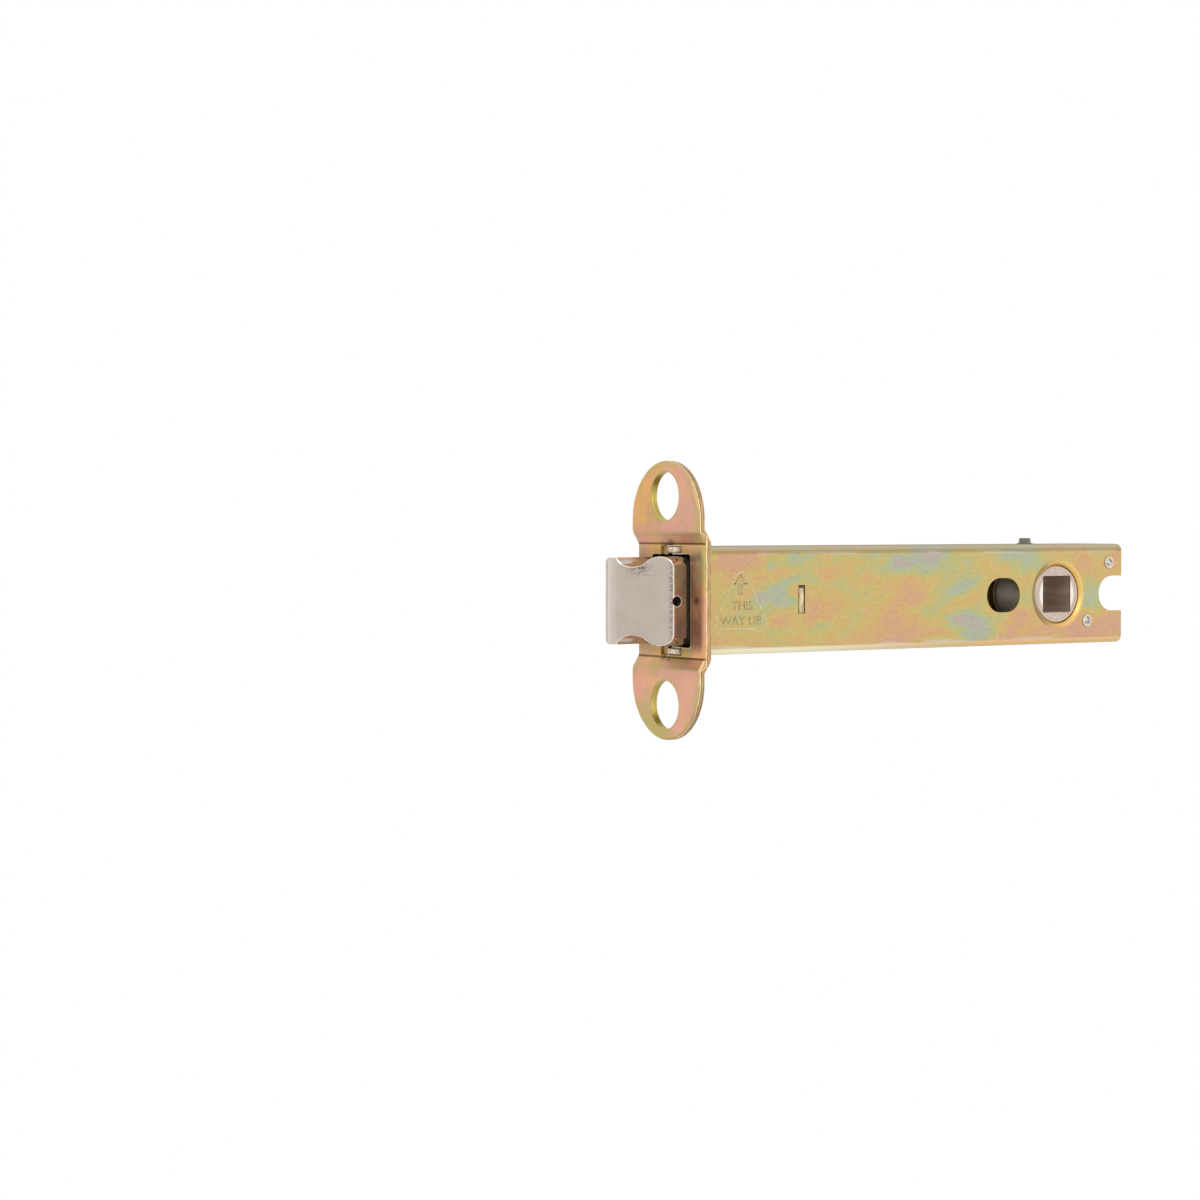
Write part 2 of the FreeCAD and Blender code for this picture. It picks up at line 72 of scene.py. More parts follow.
def written(red, green, blue):
    """A colour as it looks on screen, turned into the linear one that Blender works with."""
    linear = []
    for part in (red, green, blue):
        linear.append(part / 12.92 if part <= 0.04045 else ((part + 0.055) / 1.055) ** 2.4)
    return tuple(linear)


class Value:
    """A number that varies over a surface. Sums on it add Math nodes."""

    def __init__(self, finish, socket):
        self.finish = finish
        self.socket = socket

    def _math(self, operation, *values):
        node = self.finish.node("ShaderNodeMath", {"operation": operation}, dict(enumerate(values)))
        return Value(self.finish, node.outputs[0])

    def __add__(self, other):
        return self._math("ADD", self, other)

    def __radd__(self, other):
        return self._math("ADD", other, self)

    def __sub__(self, other):
        return self._math("SUBTRACT", self, other)

    def __rsub__(self, other):
        return self._math("SUBTRACT", other, self)

    def __mul__(self, other):
        return self._math("MULTIPLY", self, other)

    def __rmul__(self, other):
        return self._math("MULTIPLY", other, self)

    def __truediv__(self, other):
        return self._math("DIVIDE", self, other)

    def __abs__(self):
        return self._math("ABSOLUTE", self)

    def at_most(self, other):
        return self._math("MINIMUM", self, other)

    def at_least(self, other):
        return self._math("MAXIMUM", self, other)

    def root(self):
        return self._math("SQRT", self)

    def rise(self, start, stop):
        """0 up to start, 1 from stop on, and smooth between them. It falls where stop is the smaller."""
        settings = {"interpolation_type": "SMOOTHSTEP", "clamp": True}
        inputs = {"Value": self, "From Min": start, "From Max": stop, "To Min": 0.0, "To Max": 1.0}
        return Value(self.finish, self.finish.node("ShaderNodeMapRange", settings, inputs).outputs[0])

    def line(self, middle, width):
        """1 along a line at one value, fading to 0 at either side."""
        return 1 - abs(self - middle).rise(width * 0.4, width)


class Finish:
    """A material whose nodes are added one by one to its Principled BSDF."""

    def __init__(self, name):
        self.material = bpy.data.materials.new(name)
        self.material.use_nodes = True
        self.tree = self.material.node_tree
        self.surface = self.tree.nodes["Principled BSDF"]

    def node(self, kind, settings=None, inputs=None):
        made = self.tree.nodes.new(kind)
        for key, setting in (settings or {}).items():
            if key == "stops":
                self._set_stops(made.color_ramp, setting)
            else:
                setattr(made, key, setting)
        for key, value in (inputs or {}).items():
            self.feed(made.inputs[key], value)
        return made

    def feed(self, socket, value):
        if isinstance(value, Value):
            self.tree.links.new(value.socket, socket)
        elif isinstance(value, bpy.types.NodeSocket):
            self.tree.links.new(value, socket)
        elif socket.type == "RGBA":
            socket.default_value = (*value, 1.0)
        else:
            socket.default_value = value

    @staticmethod
    def _set_stops(ramp, stops):
        while len(ramp.elements) < len(stops):
            ramp.elements.new(0.5)
        for element, (place, colour) in zip(ramp.elements, stops):
            element.position = place
            element.color = (*colour, 1.0)

    def place(self):
        """Where a point is on the object, in metres, as a vector and as three numbers."""
        spot = self.node("ShaderNodeTexCoord").outputs["Object"]
        split = self.node("ShaderNodeSeparateXYZ", None, {0: spot})
        return spot, [Value(self, split.outputs[axis]) for axis in range(3)]

    def cloud(self, spot, stretch, detail=2.0, roughness=0.5, distortion=0.0, shift=(0.0, 0.0, 0.0)):
        """Noise with so many patches to the metre along each axis."""
        settings = {"operation": "MULTIPLY_ADD"}
        moved = self.node("ShaderNodeVectorMath", settings, {0: spot, 1: stretch, 2: shift})
        inputs = {"Vector": moved.outputs[0], "Scale": 1.0, "Detail": detail, "Roughness": roughness}
        inputs["Distortion"] = distortion
        made = self.node("ShaderNodeTexNoise", {"noise_dimensions": "3D", "normalize": True}, inputs)
        return Value(self, made.outputs[0])

    def colours(self, value, stops):
        return self.node("ShaderNodeValToRGB", {"stops": stops}, {0: value}).outputs[0]

    def mixed(self, share, first, second):
        """Two colours mixed by a share."""
        settings = {"data_type": "RGBA", "blend_type": "MIX", "clamp_factor": True}
        node = self.node("ShaderNodeMix", settings, {0: share, 6: first, 7: second})
        return node.outputs[2]

    def grains(self, height, strength, depth):
        """A bumped normal from a height between 0 and 1."""
        inputs = {"Strength": strength, "Distance": depth, "Height": height}
        return self.node("ShaderNodeBump", None, inputs).outputs[0]

    def shade(self, colour, metallic, roughness, normal=None):
        self.feed(self.surface.inputs["Base Color"], colour)
        self.feed(self.surface.inputs["Metallic"], metallic)
        self.feed(self.surface.inputs["Roughness"], roughness)
        if normal is not None:
            self.feed(self.surface.inputs["Normal"], normal)
        return self.material


def dressed(node_name, *materials):
    """Gives a solid of the frame its material."""
    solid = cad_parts[node_name]
    solid.data.materials.clear()
    for material in materials:
        solid.data.materials.append(material)


def new_piece(name, shape, material, body, smooth_angle=None):
    """Turns a bmesh into a piece that rides on a body of the frame."""
    mesh = bpy.data.meshes.new(name)
    shape.to_mesh(mesh)
    shape.free()
    for face in mesh.polygons:
        face.use_smooth = smooth_angle is not None
    if smooth_angle is not None:
        mesh.set_sharp_from_angle(angle=math.radians(smooth_angle))
    piece = bpy.data.objects.new(name, mesh)
    bpy.context.scene.collection.objects.link(piece)
    piece.data.materials.append(material)
    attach(piece, body)
    return piece


class LatchColours(bpy.types.PropertyGroup):
    """Colours of the finishes."""

    gold: bpy.props.FloatVectorProperty(
        name="Gold film",
        description="Zinc under a thin film",
        subtype="COLOR",
        default=written(0.77, 0.68, 0.43),
    )
    orange: bpy.props.FloatVectorProperty(
        name="Orange film",
        description="Warmest part of the film",
        subtype="COLOR",
        default=written(0.79, 0.64, 0.44),
    )
    pink: bpy.props.FloatVectorProperty(
        name="Pink film",
        description="Pink patches in the film",
        subtype="COLOR",
        default=written(0.78, 0.61, 0.51),
    )
    olive: bpy.props.FloatVectorProperty(
        name="Olive film",
        description="Yellow-green patches in the film",
        subtype="COLOR",
        default=written(0.71, 0.69, 0.46),
    )
    teal: bpy.props.FloatVectorProperty(
        name="Teal film",
        description="Blue-green patches in the film",
        subtype="COLOR",
        default=written(0.65, 0.69, 0.59),
    )
    lilac: bpy.props.FloatVectorProperty(
        name="Lilac film",
        description="Thickest part of the film",
        subtype="COLOR",
        default=written(0.69, 0.64, 0.60),
    )
    nickel: bpy.props.FloatVectorProperty(
        name="Nickel",
        description="Plating of the bolt",
        subtype="COLOR",
        default=written(0.78, 0.74, 0.70),
    )
    steel: bpy.props.FloatVectorProperty(
        name="Steel",
        description="Bright steel of the inner pieces",
        subtype="COLOR",
        default=written(0.74, 0.73, 0.71),
    )
    dark: bpy.props.FloatVectorProperty(
        name="Dark steel",
        description="Blackened steel of the clip",
        subtype="COLOR",
        default=written(0.20, 0.20, 0.21),
    )


class LatchSizes(bpy.types.PropertyGroup):
    """Sizes of the new pieces."""

    strong_wire: bpy.props.FloatProperty(
        name="Strong wire", description="Wire of the return spring", unit="LENGTH", default=1.2 * MM
    )
    strong_turns: bpy.props.IntProperty(
        name="Strong turns", description="Turns of the return spring", default=7
    )
    light_wire: bpy.props.FloatProperty(
        name="Light wire", description="Wire of the bolt's spring", unit="LENGTH", default=0.7 * MM
    )
    light_turns: bpy.props.IntProperty(
        name="Light turns", description="Turns of each half of the bolt's spring", default=4
    )
    lug_height: bpy.props.FloatProperty(
        name="Lug height", description="Height of each hammered lug end", unit="LENGTH", default=1.45 * MM
    )
    mark_relief: bpy.props.FloatProperty(
        name="Mark relief", description="Height of the stamped mark", unit="LENGTH", default=0.03 * MM
    )
    mark_stroke: bpy.props.FloatProperty(
        name="Mark stroke", description="Width of the triangle's line", unit="LENGTH", default=0.32 * MM
    )
    letter_height: bpy.props.FloatProperty(
        name="Letter height", description="Height of the stamped letters", unit="LENGTH", default=1.9 * MM
    )


class LatchStage(bpy.types.PropertyGroup):
    """Floor, lamps and camera."""

    floor_drop: bpy.props.FloatProperty(
        name="Floor drop", description="How far the floor lies below the latch", unit="LENGTH", default=0.3
    )
    key_power: bpy.props.FloatProperty(
        name="Key lamp", description="Watts of the main lamp", unit="POWER", default=1.2
    )
    fill_power: bpy.props.FloatProperty(
        name="Fill lamp", description="Watts of the lamp at the right", unit="POWER", default=0.5
    )
    room_light: bpy.props.FloatProperty(
        name="Room light", description="Strength of the light from all round", default=0.85
    )
    lens: bpy.props.FloatProperty(
        name="Lens", description="Focal length for a 36 mm sensor, in millimetres", default=83.12
    )


def cut_rim(y, z):
    """Where the forend's sheet was cut: its outline, the ear holes and the mouth with its notches."""
    over = (abs(z) - EAR_ROUND_FROM).at_least(0.0)
    outline = (y * y + over * over).root().rise(11.90 * MM, 11.96 * MM)
    ear = round_spot(y, abs(z), 0.0, EAR_HOLE_AT, 5.04 * MM, 0.04 * MM)
    mouth = abs(y).rise(6.89 * MM, 6.87 * MM) * abs(z).rise(9.54 * MM, 9.52 * MM)
    notch = abs(y).rise(3.66 * MM, 3.64 * MM) * abs(z).rise(11.24 * MM, 11.22 * MM)
    return outline.at_least(ear).at_least(mouth).at_least(notch)


def round_spot(across, up, middle, height, radius, soft):
    """1 inside a circle that lies round one place in a plane, fading over its rim."""
    side, rise = across - middle, up - height
    return (side * side + rise * rise).root().rise(radius + soft / 2, radius - soft / 2)


def film_tones(finish, spot, drift, colours, swing=1.0):
    """The colours that a thin passivated film takes as its thickness changes, in drifting blotches."""
    turn = {0: spot, 2: (0.0, 0.35, 0.0)}
    slant = finish.node("ShaderNodeMapping", {"vector_type": "POINT"}, turn).outputs[0]
    broad = finish.cloud(slant, (50.0, 50.0, 110.0), 1.5, 0.5, 0.5, shift=(1.4, 0.0, 5.2))
    middling = finish.cloud(slant, (150.0, 150.0, 300.0), 3.0, 0.6, 0.6, shift=(3.0, 7.0, 1.0))
    fine = finish.cloud(spot, (900.0, 900.0, 1300.0), 3.0, 0.7, shift=(8.0, 1.0, 6.0))
    film = 0.47 + (broad - 0.5) * (1.55 * swing) + (middling - 0.5) * 0.70 + (fine - 0.5) * 0.38 + drift
    stops = [
        (0.06, colours.pink),
        (0.28, colours.orange),
        (0.43, colours.gold),
        (0.56, colours.olive),
        (0.72, colours.teal),
        (0.84, colours.lilac),
        (0.97, colours.pink),
    ]
    return finish.colours(film, stops)


def sheet_grain(finish, spot):
    """Rolling streaks, fine specks and their height, on any zinc sheet."""
    streak = finish.cloud(spot, (60.0, 900.0, 3000.0), detail=3.0, roughness=0.65)
    speck = finish.cloud(spot, (3000.0, 3000.0, 3000.0), detail=2.0)
    worn = finish.cloud(spot, (900.0, 900.0, 1400.0), detail=4.0, roughness=0.75, shift=(1.0, 2.0, 3.0))
    return streak, speck, worn


def film_patches(finish, spot, x, z):
    """Where the case's film is thinner or thicker: ragged patches, each with its middle, half size and change."""
    ragged = (110.0, 110.0, 260.0)
    across = x + (finish.cloud(spot, ragged, 2.5, shift=(2.0, 0.0, 7.0)) - 0.5) * 24.0 * MM
    up = z + (finish.cloud(spot, ragged, 2.5, shift=(6.0, 3.0, 2.0)) - 0.5) * 9.0 * MM
    patches = (
        (11.0, 7.5, 9.0, 4.0, -0.36),
        (22.5, 2.0, 5.0, 4.5, 0.24),
        (29.0, 6.5, 8.0, 4.5, 0.24),
        (31.5, -2.0, 7.5, 6.5, -0.32),
        (52.0, 0.0, 9.0, 6.0, -0.20),
        (56.0, 8.5, 22.0, 3.5, 0.24),
        (57.0, -7.5, 14.0, 4.5, -0.34),
        (75.0, -6.5, 12.0, 4.0, 0.27),
        (76.0, 2.5, 9.0, 4.0, 0.18),
        (90.0, 8.0, 11.0, 3.5, 0.26),
        (110.0, -8.0, 16.0, 4.5, -0.36),
        (115.0, 6.0, 7.0, 5.0, -0.10),
    )
    total = 0.0
    for middle, height, half_width, half_height, change in patches:
        side = (across - middle * MM) / (half_width * MM)
        rise = (up - height * MM) / (half_height * MM)
        total = (side * side + rise * rise).root().rise(1.35, 0.10) * change + total
    return total


def case_zinc(colours):
    """Yellow passivated zinc on the case: blotchy sides, painted shading on the top bend with painted shade in
    its crease, and a painted highlight on the lower bend.
    """
    finish = Finish("zinc_case")
    spot, (x, y, z) = finish.place()
    side = abs(y).rise(5.6 * MM, 7.0 * MM)
    foot = z.rise(-5.0 * MM, -9.5 * MM) * side
    patches = film_patches(finish, spot, x, z) * y.rise(-3.0 * MM, -7.0 * MM)
    tone = film_tones(finish, spot, patches - foot * 0.08, colours, 0.70)
    streak, speck, worn = sheet_grain(finish, spot)

    tone = finish.mixed(worn.rise(0.50, 0.72) * 0.40, tone, written(0.80, 0.75, 0.64))
    tone = finish.mixed(worn.rise(0.48, 0.28) * 0.40, tone, written(0.60, 0.51, 0.38))
    worn_off = finish.cloud(spot, (90.0, 90.0, 700.0), detail=3.0).rise(0.50, 0.62)
    scuff = abs(z).line(9.6 * MM, 0.5 * MM) * worn_off
    tone = finish.mixed(scuff * 0.45, tone, written(0.86, 0.80, 0.76))

    # Painted shading on the top bend: a dark line of painted shade in the crease and a greyish strip above it,
    # for how the bend catches the light.
    bend = z.rise(9.9 * MM, 10.6 * MM) * side
    crease = z.line(9.85 * MM, 0.60 * MM)
    tone = finish.mixed(crease * 0.45, tone, written(0.52, 0.42, 0.30))
    tone = finish.mixed(bend * 0.75, tone, written(0.74, 0.70, 0.62))
    # Painted highlight along the lower bend: pale and strongest towards the front, turning orange towards the
    # tail.
    lower = z.rise(-9.5 * MM, -10.2 * MM) * side
    left = x.rise(80.0 * MM, 20.0 * MM)
    tone = finish.mixed(lower * (0.5 + left * 0.5), tone, written(1.0, 0.97, 0.84))
    tone = finish.mixed(lower * x.rise(20.0 * MM, 90.0 * MM) * 0.7, tone, written(0.94, 0.75, 0.48))

    lip = round_spot(x, z, HUB_AT, 0.0, 7.10 * MM, 0.06 * MM)
    collar = round_spot(x, z, HUB_AT, 0.0, 7.65 * MM, 0.50 * MM) * side
    # Painted shade on the left of the collar round the hub's hole, and a painted highlight on its right.
    tone = finish.mixed(collar * x.rise(99.5 * MM, 95.0 * MM) * 0.65, tone, written(0.42, 0.30, 0.16))
    tone = finish.mixed(collar * x.rise(99.5 * MM, 104.5 * MM) * 0.50, tone, written(0.95, 0.78, 0.47))
    # The lip: bright gold, partly its burnished metal and partly a painted highlight, with painted shade over its
    # left part.
    tone = finish.mixed(lip * 0.9, tone, written(0.95, 0.78, 0.45))
    tone = finish.mixed(lip * x.rise(99.0 * MM, 94.5 * MM) * 0.6, tone, written(0.40, 0.26, 0.12))
    slot = x.rise(28.1 * MM, 28.2 * MM) * x.rise(30.4 * MM, 30.3 * MM)
    slot = slot * abs(z + 0.3 * MM).rise(3.2 * MM, 3.1 * MM)
    inner = abs(y).rise(7.69 * MM, 7.66 * MM)
    # Painted shade on the cut walls of the tab's slot.
    tone = finish.mixed(slot * inner * 0.85, tone, written(0.20, 0.14, 0.09))
    # Painted shade on the case's inner faces.
    tone = finish.mixed(abs(y).rise(6.52 * MM, 6.48 * MM) * 0.55, tone, written(0.36, 0.29, 0.19))
    bare = x.rise(119.44 * MM, 119.49 * MM).at_least(cut_sides(x, y, z))
    shear = finish.cloud(spot, (300.0, 2200.0, 2200.0), detail=2.0)
    cut = finish.colours(shear, [(0.2, written(0.74, 0.66, 0.46)), (0.8, written(0.84, 0.79, 0.66))])
    tone = finish.mixed(bare * 0.85, tone, cut)
    lug = x.rise(3.05 * MM, 2.85 * MM)
    flat = y.rise(1.3 * MM, 1.0 * MM) * y.rise(-3.45 * MM, -2.6 * MM) * x.rise(2.30 * MM, 2.12 * MM)
    tone = finish.mixed(lug, tone, written(0.56, 0.45, 0.28))
    tone = finish.mixed(lug * y.rise(1.5 * MM, 1.7 * MM), tone, written(0.72, 0.60, 0.38))
    # The lug's flat face: bright for its hammered bare zinc and for a painted highlight, with painted shade over
    # its rounded top edge and its end.
    tone = finish.mixed(flat * worn.rise(0.2, 0.5), tone, written(0.95, 0.90, 0.82))
    rolled = abs(z).rise(10.55 * MM, 10.95 * MM).at_least(y.rise(-2.7 * MM, -3.3 * MM))
    tone = finish.mixed(flat * rolled * 0.8, tone, written(0.47, 0.36, 0.25))
    split = abs(y - 1.4 * MM).rise(0.50 * MM, 0.30 * MM)
    tone = finish.mixed(lug * split * 0.9, tone, written(0.16, 0.10, 0.06))

    roughness = 0.40 + streak * 0.08 + speck * 0.04 + worn * 0.06 - lip * 0.12 - bare * 0.06
    height = streak * 0.5 + speck * 0.3 + worn * 0.2
    return finish.shade(tone, 0.86, roughness, finish.grains(height, 0.20, 0.02 * MM))


def cut_sides(x, y, z):
    """Cut walls of the holes in the case's sides."""
    across = abs(y).rise(7.66 * MM, 7.60 * MM)
    notch = x.rise(111.80 * MM, 111.86 * MM) * abs(z).rise(3.96 * MM, 3.92 * MM)
    ahead = x - PASSAGE_AT
    inside = (ahead * ahead + z * z).root().rise(5.4 * MM, 5.3 * MM)
    return across * notch.at_least(inside)


def forend_zinc(colours):
    """The same zinc on the forend: warmer, with painted shade in its creases and deep in its mouth, a painted
    highlight on the mouth's front edge, a painted shadow and reflection of the bolt round the mouth, dark brown
    spots at the creases, and bare cut edges.
    """
    finish = Finish("zinc_forend")
    spot, (x, y, z) = finish.place()
    broad = finish.cloud(spot, (110.0, 110.0, 80.0), shift=(5.0, 0.0, 9.0))
    tone = film_tones(finish, spot, (broad - 0.5) * 1.1 - 0.22, colours)
    blush = finish.cloud(spot, (130.0, 130.0, 90.0), detail=2.0, distortion=0.4, shift=(7.0, 4.0, 1.0))
    tone = finish.mixed(blush.rise(0.46, 0.60) * 0.85, tone, written(0.92, 0.63, 0.55))
    glow = finish.cloud(spot, (120.0, 120.0, 100.0), detail=2.0, distortion=0.4, shift=(1.0, 8.0, 3.0))
    tone = finish.mixed(glow.rise(0.48, 0.62) * 0.75, tone, written(0.93, 0.69, 0.45))
    wander = finish.cloud(spot, (200.0, 200.0, 140.0), detail=3.0, shift=(9.0, 2.0, 5.0))
    ragged = y + (wander - 0.5) * 9.0 * MM
    lower = z.rise(4.0 * MM, -4.0 * MM)
    rosy = (ragged.rise(4.0 * MM, -0.5 * MM) + lower * 0.7).at_most(1.0)
    rosy = rosy * abs(z).rise(12.4 * MM, 14.0 * MM)
    tone = finish.mixed(rosy * 0.60, tone, written(0.89, 0.67, 0.60))
    sunny = ragged.rise(3.0 * MM, 7.0 * MM) * abs(abs(z) - 20.0 * MM).rise(7.0 * MM, 3.5 * MM)
    tone = finish.mixed(sunny * (1 - lower) * 0.65, tone, written(0.90, 0.69, 0.40))
    green = round_spot(ragged, z, 4.0 * MM, -13.8 * MM, 1.8 * MM, 2.0 * MM)
    green = green.at_least((z - ragged * 0.5).rise(-23.5 * MM, -27.0 * MM))
    tone = finish.mixed(green * 0.65, tone, written(0.72, 0.68, 0.37))
    tone = finish.mixed(abs(z).line(14.0 * MM, 2.4 * MM) * 0.45, tone, written(0.84, 0.63, 0.53))
    over = (abs(z) - EAR_ROUND_FROM).at_least(0.0)
    brim = (y * y + over * over).root().rise(9.8 * MM, 11.6 * MM) * (1 - blush.rise(0.45, 0.60) * 0.7)
    tone = finish.mixed(brim * 0.55, tone, written(0.75, 0.69, 0.39))
    streak, speck, worn = sheet_grain(finish, spot)
    tone = finish.mixed(worn.rise(0.50, 0.78) * 0.25, tone, written(0.88, 0.80, 0.70))
    tone = finish.mixed(worn.rise(0.48, 0.25) * 0.25, tone, written(0.62, 0.50, 0.38))

    front = x.rise(2.4 * MM, 1.9 * MM)
    # Painted shadow and reflection of the bolt: the recessed middle round the mouth darkened brown in patches.
    middle = abs(z).rise(11.6 * MM, 8.4 * MM) * front * y.rise(-11.6 * MM, -10.2 * MM)
    patchy = finish.cloud(spot, (170.0, 170.0, 150.0), shift=(3.0, 6.0, 4.0)).rise(0.36, 0.60)
    tone = finish.mixed(middle * (0.52 + patchy * 0.34), tone, written(0.47, 0.33, 0.23))
    # Painted reflection of the bolt's dark pin hole, on the face beside the mouth.
    hole_reflection = round_spot(y, z, -8.95 * MM, 0.1 * MM, 0.75 * MM, 1.0 * MM) * x.rise(2.0 * MM, 1.8 * MM)
    tone = finish.mixed(hole_reflection * 0.6, tone, written(0.25, 0.15, 0.10))
    rim = abs(x - 0.35 * MM).rise(0.30 * MM, 0.10 * MM) * (1 - cut_rim(y, z))
    tone = finish.mixed(rim * 0.5, tone, written(0.72, 0.66, 0.40))
    patch_share = dark_patches(finish, spot)
    # Painted shade along the upper and lower creases of the joggle.
    crease = abs(z).line(11.62 * MM, 0.30 * MM) * front
    tarnish = abs(z).line(10.4 * MM, 2.2 * MM) * abs(y).rise(9.0 * MM, 3.4 * MM) * front
    tone = finish.mixed(tarnish * 0.55, tone, written(0.70, 0.63, 0.25))
    # Dark brown spots in patches at the creases near the lug, rougher where they lie.
    crease_patch = abs(z).line(11.6 * MM, 1.1 * MM) * abs(y - 0.8 * MM).rise(3.0 * MM, 0.8 * MM)
    tone = finish.mixed(crease_patch * patch_share, tone, written(0.26, 0.16, 0.09))
    tone = finish.mixed(crease * 0.80, tone, written(0.33, 0.20, 0.13))

    bare = cut_rim(y, z)
    shear = finish.cloud(spot, (2600.0, 500.0, 500.0), detail=2.0)
    cut = finish.colours(shear, [(0.3, written(0.64, 0.52, 0.36)), (0.7, written(0.78, 0.66, 0.48))])
    tone = finish.mixed(bare * 0.80, tone, cut)
    tip = abs(z).rise(13.0 * MM, 14.2 * MM)
    uneven = (shear - 0.5) * 0.5 * MM
    step = x + uneven - (1 - tip) * 1.6 * MM
    tone = finish.mixed(bare * step.line(0.42 * MM, 0.16 * MM) * 0.8, tone, written(0.97, 0.90, 0.70))
    tone = finish.mixed(bare * step.line(0.70 * MM, 0.14 * MM) * 0.7, tone, written(0.42, 0.31, 0.18))
    tone = finish.mixed(bare * step.line(1.25 * MM, 0.16 * MM) * 0.6, tone, written(0.50, 0.38, 0.22))
    mouth = abs(y).rise(7.0 * MM, 6.9 * MM) * abs(z).rise(9.7 * MM, 9.6 * MM)
    # Painted shade deep in the mouth round the bolt, and a painted highlight on the mouth's front edge.
    tone = finish.mixed(mouth * x.rise(1.85 * MM, 2.05 * MM) * 0.85, tone, written(0.12, 0.08, 0.05))
    tone = finish.mixed(mouth * x.rise(1.85 * MM, 1.75 * MM) * 0.45, tone, written(0.90, 0.80, 0.62))
    burnished = x.line(2.22 * MM, 0.24 * MM) * abs(z).rise(8.9 * MM, 8.5 * MM)
    tone = finish.mixed(mouth * burnished * 0.8, tone, written(0.80, 0.76, 0.70))
    ear = round_spot(y, abs(z), 0.0, EAR_HOLE_AT, 5.3 * MM, 0.1 * MM)
    tone = finish.mixed(ear * 0.7, tone, written(0.74, 0.67, 0.30))

    roughness = 0.36 + streak * 0.08 + speck * 0.04 + patch_share * crease_patch * 0.2 - bare * 0.04
    height = streak * 0.5 + speck * 0.3 + worn * 0.2
    return finish.shade(tone, 0.86, roughness, finish.grains(height, 0.20, 0.02 * MM))


def dark_patches(finish, spot):
    """A patchy mask, up to 0.85, for the dark brown spots at the creases."""
    return finish.cloud(spot, (300.0, 300.0, 300.0), shift=(4.0, 4.0, 4.0)).rise(0.36, 0.58) * 0.85


def bolt_nickel(colours):
    """Nickel on the bolt: a brushed matt bevel with scuffs and burrs, and mirror-like flanks."""
    finish = Finish("nickel_bolt")
    spot, (x, y, z) = finish.place()
    start = 2.1 * MM
    slope = (-BOLT_LOW.x - start) / (BOLT_HIGH.y - 1.7 * MM - BOLT_LOW.y)
    depth = x + start + slope * (y - BOLT_LOW.y)
    bevel = abs(depth).rise(0.12 * MM, 0.06 * MM)
    brush = finish.cloud(spot, (600.0, 600.0, 6500.0), detail=4.0, roughness=0.8)
    scratch = finish.cloud(spot, (60.0, 60.0, 7000.0), detail=1.0, shift=(2.0, 5.0, 8.0))
    cloudy = finish.cloud(spot, (180.0, 180.0, 180.0), detail=2.0)
    stops = [(0.3, written(0.71, 0.66, 0.61)), (0.7, written(0.80, 0.76, 0.71))]
    matt = finish.colours(brush * 0.6 + cloudy * 0.4, stops)
    burr_edge = y.rise(BOLT_LOW.y + 0.95 * MM, BOLT_LOW.y + 0.2 * MM)
    burrs = finish.cloud(spot, (800.0, 800.0, 3800.0), 2.0, 0.8, shift=(9.0, 3.0, 2.0)).rise(0.44, 0.54)
    matt = finish.mixed(burr_edge * burrs * 0.60, matt, written(0.30, 0.26, 0.22))
    under = abs(z - 6.5 * MM).rise(1.8 * MM, 0.5 * MM) * abs(y + 0.6 * MM).rise(2.8 * MM, 0.7 * MM)
    scrape = finish.cloud(spot, (700.0, 700.0, 2600.0), 3.0, 0.8, 1.2).rise(0.47, 0.57)
    matt = finish.mixed(under * scrape * 0.8, matt, written(0.34, 0.30, 0.26))
    nose = y.rise(BOLT_HIGH.y - 3.2 * MM, BOLT_HIGH.y - 1.9 * MM)
    matt = finish.mixed(nose * 0.45, matt, written(0.86, 0.83, 0.79))
    polished = finish.mixed(cloudy.rise(0.35, 0.75) * 0.35, colours.nickel, written(0.70, 0.64, 0.58))
    ring = round_spot(x, z, -1.15 * MM, 0.0, 1.24 * MM, 0.08 * MM) * abs(y).rise(5.9 * MM, 6.0 * MM)
    polished = finish.mixed(ring * 0.8, polished, written(0.95, 0.87, 0.80))
    # Painted highlight: a bright line on the flank along the rim of the matt bevel.
    rim = depth.rise(0.03 * MM, 0.06 * MM) * depth.rise(0.34 * MM, 0.26 * MM)
    polished = finish.mixed(rim * 0.9, polished, written(0.98, 0.93, 0.88))
    tone = finish.mixed(bevel, polished, matt)
    roughness = bevel * (0.42 + scratch * 0.12) + (1 - bevel) * (0.07 + cloudy * 0.06) + ring * 0.3
    height = brush * 0.5 + scratch * 0.5
    normal = finish.grains(height * bevel + cloudy * 0.05, 0.25, 0.02 * MM)
    return finish.shade(tone, 0.94 - ring * 0.45, roughness, normal)


